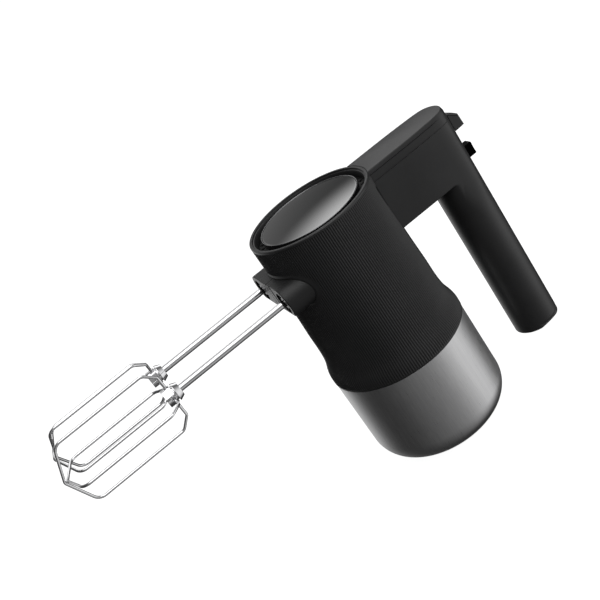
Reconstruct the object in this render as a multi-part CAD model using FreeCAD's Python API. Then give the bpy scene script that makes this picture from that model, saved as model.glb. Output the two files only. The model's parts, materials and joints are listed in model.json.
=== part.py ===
import FreeCAD, Part
import math
import os
from FreeCAD import Vector as V

# Hand mixer with an upright barrel body, a side handle and two wire beaters.
# Millimetres. The mixer stands on its heel: +Z is the motor axis, upward.
# Origin: centre of the heel's resting face. The beaters point along -X,
# the handle is on the +X side, and the two beaters lie at -Y and +Y.

os.makedirs("parts", exist_ok=True)

# ------------------------------------------------------------ driving sizes
H_TOP = 183.0            # overall height, heel to front rim
Z_JOINT = 72.0           # joint between steel cup and ribbed barrel
R_STEEL = 48.6           # steel cup outer radius
R_HEEL_FIL = 19.3        # rounding between cup wall and heel
T_STEEL = 0.9            # steel sheet thickness
T_WALL = 2.2             # moulded wall thickness

# outer profile of the barrel (radius, height), bottom to top
BARREL = [(49.0, 72.0), (49.0, 75.0), (48.3, 79.0), (47.3, 83.0), (46.3, 87.0),
          (45.6, 92.0), (45.15, 97.0), (45.0, 101.0), (44.9, 111.0),
          (44.6, 118.0), (44.1, 133.0), (43.7, 152.0), (43.4, 166.0),
          (43.3, 177.0)]
R_RIM = 43.3             # front rim outer radius
R_RECESS = 40.25         # recess around the front disc
R_DISC = 35.0            # front disc with its trim ring
Z_DISC = 182.5           # top of the disc edge

Y_SPINDLE = 19.5         # spindle axes at y = +/- this
Z_SPINDLE = 151.3        # height of the spindle axes
R_SPINDLE = 4.0          # spindle sleeve outer radius
R_SHAFT = 2.3            # beater shaft radius
GAP_RUN = 0.06           # radial running clearance
X_NOSE = -50.0           # front face of the spindle nose
R_NOSE = 11.0            # nose boss radius
R_NOSE_BORE = 7.4        # counterbore round each spindle
Z_NOSE0 = 143.0          # flat underside of the nose

# worm drive
M_GEAR = 1.25            # module
N_WHEEL = 24             # teeth on each worm wheel
R_PITCH = 15.0           # wheel pitch radius
R_WORM = 4.5             # worm pitch radius
LEAD = math.pi * M_GEAR  # single-start worm
HALF_T = 0.857           # half tooth thickness at the pitch line
W_WHEEL = 6.0            # wheel face width

# beaters
X_HUB0, X_HUB1 = -130.0, -141.0
X_SHAFT_IN = -14.0       # inner end of a seated beater shaft
R_CAGE = 22.2            # wire centre line radius
R_SHOULDER = 15.2
X_SHOULDER = -136.6
X_CAGE0 = -143.6
X_CAGE1 = -207.0
X_TIP = -215.0
R_WIRE = 0.95
PHASE_LEFT = 0.0         # leg angle of the beater at -Y, from +Z
PHASE_RIGHT = 64.0       # leg angle of the beater at +Y, from +Z towards +Y

# handle
X_GRIP = 91.9            # grip axis
R_GRIP = 16.1
Z_GRIP0 = 16.4
Z_CAP = 22.0             # joint between grip tube and end cap
Z_ARM0 = 138.4           # underside of the arm
Z_SEAM = 174.8           # seam below the arm's top cover
X_ARM0 = 33.0            # arm root, inside the barrel
ARM_W43, ARM_W92 = 21.1, 14.9   # arm half widths at x = 43 and x = 91.9
R_INLET = 3.75           # cord inlet bore

# controls
Z_EJECT = 144.7
EJECT_TRAVEL = 4.5
R_ROD = 2.2


# ------------------------------------------------------------ helpers
def cyl(r, p0, p1):
    a, b = V(*p0), V(*p1)
    return Part.makeCylinder(r, (b - a).Length, a, b - a)


def tube(ro, ri, p0, p1):
    return cyl(ro, p0, p1).cut(cyl(ri, p0, p1))


def box(x0, y0, z0, x1, y1, z1):
    return Part.makeBox(x1 - x0, y1 - y0, z1 - z0, V(x0, y0, z0))


def revolve(pts):
    w = Part.makePolygon([V(r, 0, z) for r, z in pts] + [V(pts[0][0], 0, pts[0][1])])
    return Part.Face(w).revolve(V(0, 0, 0), V(0, 0, 1), 360)


def prism_xy(pts, z0, z1):
    w = Part.makePolygon([V(x, y, z0) for x, y in pts] + [V(pts[0][0], pts[0][1], z0)])
    return Part.Face(w).extrude(V(0, 0, z1 - z0))


def prism_xz(pts, y0, y1):
    w = Part.makePolygon([V(x, y0, z) for x, z in pts] + [V(pts[0][0], y0, pts[0][1])])
    return Part.Face(w).extrude(V(0, y1 - y0, 0))


def join(shapes):
    s = shapes[0]
    if len(shapes) > 1:
        s = s.multiFuse(shapes[1:])
    return s.removeSplitter()


def arc_pts(cx, cz, r, a0, a1, n):
    return [(cx + r * math.cos(math.radians(a0 + (a1 - a0) * i / n)),
             cz + r * math.sin(math.radians(a0 + (a1 - a0) * i / n))) for i in range(n + 1)]


def spin(shape, n, centre=V(0, 0, 0), axis=V(0, 0, 1), start=0.0):
    out = []
    for i in range(n):
        c = shape.copy()
        c.rotate(centre, axis, start + 360.0 * i / n)
        out.append(c)
    return out


def mirror_y(shape):
    return shape.mirror(V(0, 0, 0), V(0, 1, 0))


def save(name, shape):
    if isinstance(shape, (list, tuple)):
        shape = Part.makeCompound(list(shape))
    sol = shape.Solids
    shape = sol[0] if len(sol) == 1 else Part.makeCompound(sol)
    bb = shape.BoundBox
    print("%-22s solids %d valid %s vol %9.1f  x %.1f %.1f y %.1f %.1f z %.1f %.1f" % (
        name, len(sol), shape.isValid(), shape.Volume, bb.XMin, bb.XMax, bb.YMin, bb.YMax, bb.ZMin, bb.ZMax))
    shape.exportStep("parts/%s.step" % name)
    return shape


# ------------------------------------------------------------ steel cup and heel
def cup_profile(off):
    r_f = R_HEEL_FIL - off
    flat = R_STEEL - R_HEEL_FIL
    pts = [(R_STEEL - off, Z_JOINT)]
    pts += arc_pts(flat, 0.8 + R_HEEL_FIL, r_f, 0, -90, 14)
    return pts


outer = cup_profile(0.0)
inner = cup_profile(T_STEEL)
cup = revolve([(24.0, 0.8)] + outer[::-1] + inner + [(24.0, 0.8 + T_STEEL)])
screw_xy = [(20.0 * math.cos(math.radians(a)), 20.0 * math.sin(math.radians(a))) for a in (90, 210, 330)]

# heel pad: moulded disc snapped into the hole of the cup, with air intake slots
pad = join([cyl(28.6, (0, 0, 0), (0, 0, 0.8)), cyl(23.9, (0, 0, 0.8), (0, 0, 4.2))])
slots = spin(box(9.5, -1.2, -1, 16.0, 1.2, 6), 12)
pad = pad.cut(Part.makeCompound(slots))
for x, y in screw_xy:
    pad = pad.cut(cyl(1.65, (x, y, -1), (x, y, 6))).cut(cyl(3.2, (x, y, -1), (x, y, 2.0)))
save("steel_shell", cup)
save("heel_pad", pad)

# ------------------------------------------------------------ spindle nose
z_nc = Z_SPINDLE - 0.2
bosses = [cyl(R_NOSE, (X_NOSE + 2.0, sg * Y_SPINDLE, z_nc), (-33.0, sg * Y_SPINDLE, z_nc)) for sg in (-1, 1)]
middle = box(X_NOSE + 2.0, -Y_SPINDLE, Z_NOSE0, -33.0, Y_SPINDLE, z_nc + R_NOSE)
web = prism_xz([(X_NOSE, 145.5), (-40.0, 145.5), (-40.0, z_nc + R_NOSE), (X_NOSE, z_nc + R_NOSE)], -9.0, 9.0)
nose_full = join(bosses + [middle]).common(box(X_NOSE, -40, Z_NOSE0, -33.0, 40, 170))
nose_full = join([nose_full, web])
nose = nose_full
for s in (-1, 1):
    nose = nose.cut(cyl(R_NOSE_BORE, (X_NOSE - 1, s * Y_SPINDLE, Z_SPINDLE), (-32, s * Y_SPINDLE, Z_SPINDLE)))
save("nose_block", nose)
front_bush = [tube(R_NOSE_BORE - 0.02, R_SPINDLE + GAP_RUN, (-46.0, s * Y_SPINDLE, Z_SPINDLE), (-38.0, s * Y_SPINDLE, Z_SPINDLE)) for s in (-1, 1)]
save("front_bushes", front_bush)


# ------------------------------------------------------------ handle outline
def arm_w(x, off=0.0):
    return ARM_W43 - (x - 43.0) * (ARM_W43 - ARM_W92) / (X_GRIP - 43.0) - off


def arm_solid(off, z0, z1, x0=X_ARM0):
    """Tapered arm with a rounded tip, inset by off."""
    x1 = 112.0
    flats = prism_xy([(x0, -arm_w(x0, off)), (x1, -arm_w(x1, off)), (x1, arm_w(x1, off)), (x0, arm_w(x0, off))], z0, z1)
    body = box(x0 - 1, -30, z0, X_GRIP, 30, z1)
    tip = cyl(R_GRIP - off, (X_GRIP, 0, z0), (X_GRIP, 0, z1))
    return flats.common(join([body, tip]))


# ------------------------------------------------------------ ribbed barrel
wall_out = BARREL
wall_in = [(r - T_WALL, z) for r, z in BARREL]
barrel = revolve(wall_out + wall_in[::-1])
barrel = barrel.cut(nose_full)
barrel = barrel.cut(arm_solid(0.0, Z_ARM0, Z_SEAM))
# lip that drops inside the steel cup
lip = revolve([(47.55, 66.0), (47.55, 72.0), (46.8, 72.0), (46.0, 72.0), (46.0, 66.0)])
barrel = join([barrel, lip])
save("body_shell", barrel)

# ------------------------------------------------------------ front rim, disc and trim
rim = revolve([(R_RIM, 177.0), (R_RIM, 181.2), (43.0, 182.2), (42.3, 183.0), (41.3, 183.0), (40.6, 182.5),
               (R_RECESS, 181.6), (R_RECESS, 176.6), (30.0, 176.6), (30.0, 175.0), (41.0, 175.0), (41.0, 177.0)])
vents = spin(box(36.0, -1.1, 172, 39.2, 1.1, 180), 36)
rim = rim.cut(Part.makeCompound(vents))
save("rim_ring", rim)
disc = revolve([(0.0, 176.6), (32.0, 176.6), (32.0, 179.2), (34.35, 179.2), (34.35, 182.2), (33.9, 182.5), (20.0, 182.9), (0.0, 183.0)])
save("front_disc", disc)
trim = revolve([(34.37, 179.2), (R_DISC, 179.2), (R_DISC, 182.3), (34.85, 182.5), (34.37, 182.5)])
save("disc_trim", trim)

# ------------------------------------------------------------ arm halves and grip
arm = arm_solid(0.0, Z_ARM0, Z_SEAM)
cav_arm = arm_solid(T_WALL, Z_ARM0 + T_WALL, Z_SEAM + 1.0, X_ARM0 - 5)
cav_grip = cyl(R_GRIP - T_WALL, (X_GRIP, 0, Z_ARM0 - 1), (X_GRIP, 0, Z_ARM0 + 6.0))
arm = arm.cut(join([cav_arm, cav_grip]))
# screw bosses across the halves
ARM_SCREWS = [(50.0, 168.0), (86.3, 168.5)]
posts = []
for x, z in ARM_SCREWS:
    y1 = arm_w(x) - 1.0
    posts.append(cyl(3.6, (x, -y1, z), (x, y1, z)))
# guide wall for the push rod and seat of its return spring
guide = box(81.5, -14.6, 141.8, 84.0, 14.6, 150.5)
arm = join([arm] + posts + [guide])
for x, z in ARM_SCREWS:
    y1 = arm_w(x)
    arm = arm.cut(cyl(1.55, (x, -8.5, z), (x, y1 + 1, z))).cut(cyl(3.0, (x, y1 - 3.6, z), (x, y1 + 2, z)))
arm = arm.cut(cyl(R_ROD + 0.4, (80, 0, Z_EJECT), (86, 0, Z_EJECT)))
# selector slot and eject button window in the tip
arm = arm.cut(box(100, -2.3, 153.7, 112, 2.3, 170.3))
arm = arm.cut(box(103, -7.3, 140.1, 112, 7.3, 149.3))
arm = arm.cut(cyl(38.5, (0, 0, 120), (0, 0, 190)))
save("arm_left", arm.common(box(20, -40, 0, 130, 0, 200)))
save("arm_right", arm.common(box(20, 0, 0, 130, 40, 200)))

screws = []
for x, z in ARM_SCREWS:
    y1 = arm_w(x)
    screws.append(join([cyl(1.5, (x, -8.0, z), (x, y1 - 3.6, z)), cyl(2.8, (x, y1 - 3.6, z), (x, y1 - 1.6, z))]))
save("arm_screws", screws)

grip = cyl(R_GRIP, (X_GRIP, 0, Z_CAP), (X_GRIP, 0, Z_ARM0))
grip = grip.cut(cyl(R_GRIP - T_WALL, (X_GRIP, 0, Z_CAP - 1), (X_GRIP, 0, Z_ARM0 + 1)))
spigot = tube(R_GRIP - T_WALL - 0.05, 11.9, (X_GRIP, 0, Z_ARM0 - 6.0), (X_GRIP, 0, 141.6)).common(box(70, -20, 120, 95.0, 20, 150))
ring = tube(R_GRIP - T_WALL + 0.3, 11.9, (X_GRIP, 0, Z_ARM0 - 6.0), (X_GRIP, 0, Z_ARM0 - 4.0))
grip = join([grip, ring, spigot])
save("grip_tube", grip)

# arm top cover
cover = arm_solid(0.0, Z_SEAM, H_TOP, X_ARM0)
top_edges = [e for e in cover.Edges if abs(e.BoundBox.ZMin - H_TOP) < 0.01 and e.BoundBox.XMax > X_ARM0 + 1]
try:
    cover = cover.makeChamfer(2.6, top_edges)
except Exception:
    cover = cover.makeChamfer(1.2, top_edges)
cover = cover.cut(arm_solid(T_WALL, Z_SEAM - 1, H_TOP - 2.4, X_ARM0 - 5))
cover = cover.cut(cyl(R_RIM, (0, 0, 170), (0, 0, 190)))
save("arm_cover", cover)

# grip end cap with the cord inlet: a rounded foot, and a spigot up into the tube
cap = cyl(R_GRIP, (X_GRIP, 0, Z_GRIP0), (X_GRIP, 0, Z_CAP))
cap = cap.makeFillet(2.0, [e for e in cap.Edges if e.BoundBox.ZMax < Z_GRIP0 + 0.01])
cap = join([cap, tube(R_GRIP - T_WALL - 0.02, 11.5, (X_GRIP, 0, Z_CAP - 0.5), (X_GRIP, 0, Z_CAP + 5.0))])
cap = cap.cut(cyl(R_INLET, (X_GRIP, 0, 0), (X_GRIP, 0, 40)))
save("grip_end_cap", cap)

# ------------------------------------------------------------ gearbox frame
Z_PLATE = 126.0
plate = cyl(41.9, (0, 0, Z_PLATE), (0, 0, Z_PLATE + 3.0))
hub = cyl(11.0, (0, 0, Z_PLATE - 2.5), (0, 0, Z_PLATE + 6.0))
shroud = tube(33.2, 31.25, (0, 0, 84.0), (0, 0, Z_PLATE))
rear_wall = box(8.0, -30.0, Z_PLATE + 2.0, 13.0, 30.0, 165.0)
bridge = box(-8.0, -8.0, 165.5, 13.0, 8.0, 171.0)
bridge_leg = box(8.0, -8.0, 160.0, 13.0, 8.0, 171.0)
frame = join([plate, hub, shroud, rear_wall, bridge, bridge_leg])
frame = frame.cut(cyl(8.02, (0, 0, Z_PLATE - 3), (0, 0, Z_PLATE + 7)))
frame = frame.cut(cyl(5.02, (0, 0, 160), (0, 0, 175)))
for s in (-1, 1):
    frame = frame.cut(cyl(7.02, (5, s * Y_SPINDLE, Z_SPINDLE), (16, s * Y_SPINDLE, Z_SPINDLE)))
windows = spin(box(28.0, -7.0, 96.0, 40.0, 7.0, 121.0), 6, start=30.0)
plate_windows = spin(box(16.0, -4.5, 120.0, 28.0, 4.5, 132.0), 6, start=0.0)
plate_windows = [w for i, w in enumerate(plate_windows) if i not in (0,)]
frame = frame.cut(Part.makeCompound(windows)).cut(Part.makeCompound(plate_windows))
save("gearbox_frame", frame)
rear_bush = [tube(7.0, R_SPINDLE + GAP_RUN, (8.0, s * Y_SPINDLE, Z_SPINDLE), (13.0, s * Y_SPINDLE, Z_SPINDLE)) for s in (-1, 1)]
save("rear_bushes", rear_bush)
save("front_bearing", tube(8.0, 3.0 + GAP_RUN, (0, 0, Z_PLATE - 2.0), (0, 0, Z_PLATE + 5.0)))
save("top_bush", tube(5.0, 2.5 + GAP_RUN, (0, 0, 165.5), (0, 0, 171.0)))

# ------------------------------------------------------------ motor, fixed side
pole = []
ring = tube(31.2, 27.4, (0, 0, 62.0), (0, 0, 92.0))
shoe = tube(19.0, 16.3, (0, 0, 62.0), (0, 0, 92.0))
keep = prism_xy([(0, 0), (30, -36), (30, 36)], 60, 95)
shoes = [shoe.common(keep)]
m = keep.mirror(V(0, 0, 0), V(1, 0, 0))
shoes.append(shoe.common(m))
necks = [box(17.8, -10.5, 62.0, 28.5, 10.5, 92.0), box(-28.5, -10.5, 62.0, -17.8, 10.5, 92.0)]
stator = join([ring] + shoes + necks).cut(cyl(16.3, (0, 0, 60), (0, 0, 95)))
save("field_stator", stator)
coil = box(19.6, -15.0, 56.0, 22.4, 15.0, 98.0).cut(box(19.0, -10.8, 61.5, 23.0, 10.8, 92.5))
save("field_coils", [coil, coil.mirror(V(0, 0, 0), V(1, 0, 0))])

bracket = join([cyl(33.2, (0, 0, 28.0), (0, 0, 31.0)), cyl(11.0, (0, 0, 20.0), (0, 0, 31.0)),
                tube(33.2, 31.25, (0, 0, 31.0), (0, 0, 70.0))]
               + [cyl(4.2, (x, y, 4.3), (x, y, 28.5)) for x, y in screw_xy])
bracket = bracket.cut(cyl(8.02, (0, 0, 19), (0, 0, 32)))
bracket = bracket.cut(Part.makeCompound(spin(box(28.0, -8.0, 36.0, 40.0, 8.0, 56.0), 4, start=45.0)))
bracket = bracket.cut(Part.makeCompound(spin(box(13.0, -3.5, 26.0, 25.0, 3.5, 33.0), 6, start=0.0)))
for x, y in screw_xy:
    bracket = bracket.cut(cyl(1.25, (x, y, 3.0), (x, y, 20.0)))
holders = []
brushes = []
springs = []
for s in (-1, 1):
    y0, y1 = (12.0, 31.0) if s > 0 else (-31.0, -12.0)
    h = box(-4.0, y0, 41.0, 4.0, y1, 49.0).cut(box(-3.0, y0 - 1, 42.0, 3.0, y1 + 1, 48.0))
    holders.append(h)
    b0, b1 = (9.6, 22.0) if s > 0 else (-22.0, -9.6)
    brushes.append(box(-2.95, b0, 42.05, 2.95, b1, 47.95))
save("rear_bracket", bracket)
save("brush_holders", holders)
save("carbon_brushes", brushes)


def helix_spring(mean_r, wire_r, length, turns, origin, axis):
    hel = Part.makeHelix(length / turns, length, mean_r)
    prof = Part.Wire([Part.makeCircle(wire_r, V(mean_r, 0, 0), V(0, 1, 0))])
    s = Part.Wire(hel).makePipeShell([prof], True, True)
    pl = FreeCAD.Placement(V(*origin), FreeCAD.Rotation(V(0, 0, 1), V(*axis)))
    s.Placement = pl
    return s


save("brush_springs", [helix_spring(2.2, 0.3, 8.2, 6, (0, s * 22.4, 45.0), (0, s, 0)) for s in (-1, 1)])
save("rear_bearing", tube(8.0, 3.0 + GAP_RUN, (0, 0, 20.5), (0, 0, 27.5)))
shell_screws = [join([cyl(1.2, (x, y, 2.0), (x, y, 16.0)), cyl(2.8, (x, y, 0.6), (x, y, 2.0))]) for x, y in screw_xy]
save("shell_screws", shell_screws)
save("rear_mount_ring", revolve([(33.25, 58.0), (47.5, 58.0), (47.5, 63.5), (33.25, 63.5)]))

# ------------------------------------------------------------ rotor
z_w0, z_w1 = 141.0, 162.0
turns_h = z_w1 - z_w0
hel = Part.makeHelix(LEAD, turns_h, R_WORM)


def worm_section(z):
    t = math.tan(math.radians(20))
    r0, r1 = 2.6, 5.70
    h0 = HALF_T + (R_WORM - r0) * t
    h1 = HALF_T - (r1 - R_WORM) * t
    return Part.makePolygon([V(r0, 0, z - h0), V(r1, 0, z - h1), V(r1, 0, z + h1), V(r0, 0, z + h0), V(r0, 0, z - h0)])


thread = Part.Wire(hel).makePipeShell([worm_section(0.0)], True, True)
# a thread crest sits exactly at the spindle height on the +Y side
z_phase = Z_SPINDLE - LEAD / 4.0
k = math.floor((z_phase - z_w0) / LEAD)
thread.translate(V(0, 0, z_phase - k * LEAD))
shaft = join([cyl(3.0, (0, 0, 21.0), (0, 0, 164.9)), cyl(2.5, (0, 0, 164.9), (0, 0, 170.6))])
worm_shaft = shaft.fuse(thread)
worm_shaft = worm_shaft.removeSplitter()
save("worm_shaft", worm_shaft)

core = tube(15.6, 3.02, (0, 0, 62.0), (0, 0, 92.0))
core_slots = []
for i in range(12):
    a = math.radians(30.0 * i)
    c = cyl(2.0, (12.0 * math.cos(a), 12.0 * math.sin(a), 61), (12.0 * math.cos(a), 12.0 * math.sin(a), 93))
    g = box(12.0, -0.7, 61, 17.0, 0.7, 93)
    g.rotate(V(0, 0, 0), V(0, 0, 1), 30.0 * i)
    core_slots += [c, g]
core = core.cut(Part.makeCompound(core_slots))
save("armature_core", core)
end_turn = revolve([(5.0, 92.05), (13.6, 92.05), (14.6, 93.5), (14.2, 97.0), (12.0, 99.5), (8.0, 100.0), (5.0, 99.0)])
end_turn2 = revolve([(9.6, 61.95), (13.6, 61.95), (14.6, 60.5), (14.2, 57.5), (12.0, 55.6), (9.6, 55.2)])
slot_fill = []
for i in range(12):
    a = math.radians(30.0 * i)
    slot_fill.append(cyl(1.85, (12.0 * math.cos(a), 12.0 * math.sin(a), 61.95), (12.0 * math.cos(a), 12.0 * math.sin(a), 92.05)))
windings = join([end_turn, end_turn2] + slot_fill)
save("armature_windings", windings)
comm = join([tube(9.3, 3.02, (0, 0, 38.0), (0, 0, 52.0)), tube(9.55, 3.02, (0, 0, 52.0), (0, 0, 55.0))])
comm_slots = spin(box(8.4, -0.25, 37.0, 10.0, 0.25, 52.0), 24, start=7.5)
comm = comm.cut(Part.makeCompound(comm_slots))
save("commutator", comm)
fan_hub = tube(7.0, 3.02, (0, 0, 104.0), (0, 0, 118.0))
fan_disc = tube(28.5, 3.02, (0, 0, 104.0), (0, 0, 105.6))
blades = spin(box(9.0, -0.7, 105.0, 28.0, 0.7, 116.5), 11)
fan = join([fan_hub, fan_disc] + blades)
save("cooling_fan", fan)


# ------------------------------------------------------------ worm wheels and spindles
def inv(a):
    return math.tan(a) - a


def wheel_section(x, y_c, z_c, phase):
    rb = R_PITCH * math.cos(math.radians(20))
    r_root, r_tip = 13.45, 16.1
    half0 = HALF_T / R_PITCH
    pts = []
    for kk in range(N_WHEEL):
        mid = phase + 2 * math.pi * kk / N_WHEEL
        flank = []
        for r in (r_root, 14.3, 15.2, r_tip):
            al = math.acos(min(1.0, rb / r)) if r > rb else 0.0
            flank.append((r, half0 + inv(math.radians(20)) - inv(al)))
        for r, h in flank:
            pts.append((r, mid - h))
        for r, h in flank[::-1]:
            pts.append((r, mid + h))
    vv = [V(x, y_c + r * math.cos(a), z_c + r * math.sin(a)) for r, a in pts]
    return Part.makePolygon(vv + [vv[0]])


def worm_wheel(sign):
    y_c = sign * Y_SPINDLE
    # angle measured from +Y towards +Z; a positive turn about +X increases it
    base = math.pi / N_WHEEL + math.pi if sign > 0 else 0.0
    tw = math.tan(math.atan(LEAD / (2 * math.pi * R_WORM)))
    x0, x1 = -W_WHEEL / 2, W_WHEEL / 2
    a0 = base + x0 * tw / R_PITCH
    a1 = base + x1 * tw / R_PITCH
    w0 = wheel_section(x0, y_c, Z_SPINDLE, a0)
    w1 = wheel_section(x1, y_c, Z_SPINDLE, a1)
    body = Part.makeLoft([w0, w1], True, True)
    body = body.fuse(cyl(7.5, (-6.5, y_c, Z_SPINDLE), (6.5, y_c, Z_SPINDLE)))
    body = body.cut(cyl(R_SPINDLE + 0.02, (-8, y_c, Z_SPINDLE), (8, y_c, Z_SPINDLE)))
    return body


for name, s in (("left", -1), ("right", 1)):
    y = s * Y_SPINDLE
    save("worm_wheel_" + name, worm_wheel(s))
    sleeve = tube(R_SPINDLE, R_SHAFT + GAP_RUN, (-49.0, y, Z_SPINDLE), (14.0, y, Z_SPINDLE))
    save("spindle_" + name, sleeve)
    clips = [tube(5.6, R_SPINDLE + 0.02, (-37.6, y, Z_SPINDLE), (-36.6, y, Z_SPINDLE)),
             tube(5.6, R_SPINDLE + 0.02, (6.7, y, Z_SPINDLE), (7.7, y, Z_SPINDLE))]
    save("spindle_rings_" + name, clips)
    pin = join([cyl(R_SHAFT, (X_SHAFT_IN + 0.2, y, Z_SPINDLE), (18.9, y, Z_SPINDLE)),
                cyl(4.0, (18.8, y, Z_SPINDLE), (20.8, y, Z_SPINDLE))])
    save("ejector_pin_" + name, pin)


# ------------------------------------------------------------ beaters
def rounded_path(pts, radii):
    """Straight runs joined by tangent arcs; pts are vectors, radii for inner points."""
    edges = []
    cur = pts[0]
    for i in range(1, len(pts) - 1):
        a, b, c = pts[i - 1], pts[i], pts[i + 1]
        u = (a - b).normalize() if False else V(a.x - b.x, a.y - b.y, a.z - b.z)
        u.normalize()
        w = V(c.x - b.x, c.y - b.y, c.z - b.z)
        w.normalize()
        ang = u.getAngle(w)
        t = radii[i - 1] / math.tan(ang / 2.0)
        p1 = b + u * t
        p2 = b + w * t
        bis = u + w
        bis.normalize()
        centre = b + bis * (radii[i - 1] / math.sin(ang / 2.0))
        mid = centre - bis * radii[i - 1]
        edges.append(Part.LineSegment(cur, p1).toShape())
        edges.append(Part.Arc(p1, mid, p2).toShape())
        cur = p2
    edges.append(Part.LineSegment(cur, pts[-1]).toShape())
    return Part.Wire(edges)


def wire_loop(y_c, angle_deg, x_tip, x_sh):
    """One bent wire: two opposite legs of a beater cage, joined over the tip."""
    a = math.radians(angle_deg)
    dy, dz = math.sin(a), math.cos(a)

    def P(x, r):
        return V(x, y_c + r * dy, Z_SPINDLE - 0.9 + r * dz)
    pts = [P(x_sh, 3.6), P(x_sh, R_SHOULDER), P(X_CAGE0, R_CAGE), P(X_CAGE1, R_CAGE), P(x_tip, 0.0),
           P(X_CAGE1, -R_CAGE), P(X_CAGE0, -R_CAGE), P(x_sh, -R_SHOULDER), P(x_sh, -3.6)]
    path = rounded_path(pts, [1.6, 5.0, 6.5, 3.0, 6.5, 5.0, 1.6])
    prof = Part.Wire([Part.makeCircle(R_WIRE, pts[0], V(0, dy, dz))])
    s = path.makePipeShell([prof], True, False, 2)
    print("   loop length %.1f, volume ratio %.4f" % (path.Length, s.Volume / (path.Length * math.pi * R_WIRE ** 2)))
    return s


for name, s, ph in (("left", -1, PHASE_LEFT), ("right", 1, PHASE_RIGHT)):
    y = s * Y_SPINDLE
    zc = Z_SPINDLE - 0.9
    la = wire_loop(y, ph, X_TIP - 0.95, X_SHOULDER)
    lb = wire_loop(y, ph + 90.0, X_TIP + 1.0, X_SHOULDER)
    save("beater_loop_a_" + name, la)
    save("beater_loop_b_" + name, lb)
    zs = Z_SPINDLE
    prof = [(-130.0, 0.0), (-130.0, 4.4), (-130.9, 5.2), (-133.4, 6.0), (-133.9, 6.0), (-133.9, 4.6), (-134.9, 4.6), (-134.9, 6.0),
            (-140.6, 6.0), (-141.0, 5.6), (-141.0, 4.4), (-139.6, 3.2), (-139.6, 0.0)]
    w = Part.makePolygon([V(px, y, zs + pr) for px, pr in prof + [prof[0]]])
    hubp = Part.Face(w).revolve(V(0, y, zs), V(1, 0, 0), 360)
    for q in (0, 90):
        a = math.radians(ph + q)
        dy, dz = math.sin(a), math.cos(a)
        hubp = hubp.cut(cyl(R_WIRE + 0.03, (X_SHOULDER, y - 9 * dy, zc - 9 * dz), (X_SHOULDER, y + 9 * dy, zc + 9 * dz)))
    hubp = hubp.cut(cyl(R_SHAFT + 0.02, (-129, y, zs), (-134.0, y, zs)))
    hubp = Part.makeCompound(hubp.Solids)
    save("beater_hub_" + name, hubp)
    save("beater_shaft_" + name, cyl(R_SHAFT, (-133.9, y, zs), (X_SHAFT_IN, y, zs)))

# ------------------------------------------------------------ eject train
btn = box(102.8, -7.0, 140.4, 114.4, 7.0, 149.0)
try:
    btn = btn.makeFillet(1.0, [e for e in btn.Edges if e.BoundBox.XMin > 114.3])
except Exception:
    pass
flange = box(100.0, -7.6, 139.0, 102.9, 7.6, 150.6)
btn = join([btn, flange]).cut(cyl(R_ROD + 0.02, (99, 0, Z_EJECT), (104.0, 0, Z_EJECT)))
save("eject_button", btn)
save("eject_pushrod", cyl(R_ROD, (22.6, 0, Z_EJECT), (103.9, 0, Z_EJECT)))
yoke = box(21.0, -25.0, 141.0, 24.0, 25.0, 157.0).cut(cyl(R_ROD + 0.02, (22.5, 0, Z_EJECT), (26, 0, Z_EJECT)))
save("eject_yoke", yoke)
save("eject_spring", helix_spring(4.2, 0.5, 14.6, 6, (84.7, 0, Z_EJECT), (1, 0, 0)))

# ------------------------------------------------------------ speed control
wedge = prism_xz([(104.0, 164.0), (106.4, 164.0), (106.4, 160.7), (109.5, 160.7), (116.2, 161.2), (115.7, 169.8), (109.9, 174.0), (106.4, 174.0), (106.4, 170.0), (104.0, 170.0)], -6.0, 6.0)
shell_clear = cyl(R_GRIP + 0.35, (X_GRIP, 0, 150), (X_GRIP, 0, 180))
wedge = wedge.cut(shell_clear)
stem = box(103.0, -2.0, 164.0, 109.5, 2.0, 170.0)
plate_in = box(100.5, -4.6, 162.0, 104.2, 4.6, 172.0)
sel = join([wedge, stem, plate_in])
save("speed_selector", sel)
save("control_board", box(55.0, 5.0, 151.0, 82.0, 6.6, 173.0))
save("switch_module", box(90.6, 4.0, 152.0, 97.0, 12.0, 172.0))
save("detent_leaf", prism_xz([(97.5, 154.0), (98.0, 154.0), (99.2, 163.0), (98.0, 172.0), (97.5, 172.0), (98.6, 163.0)], -3.0, 3.0))
print("done")
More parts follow.
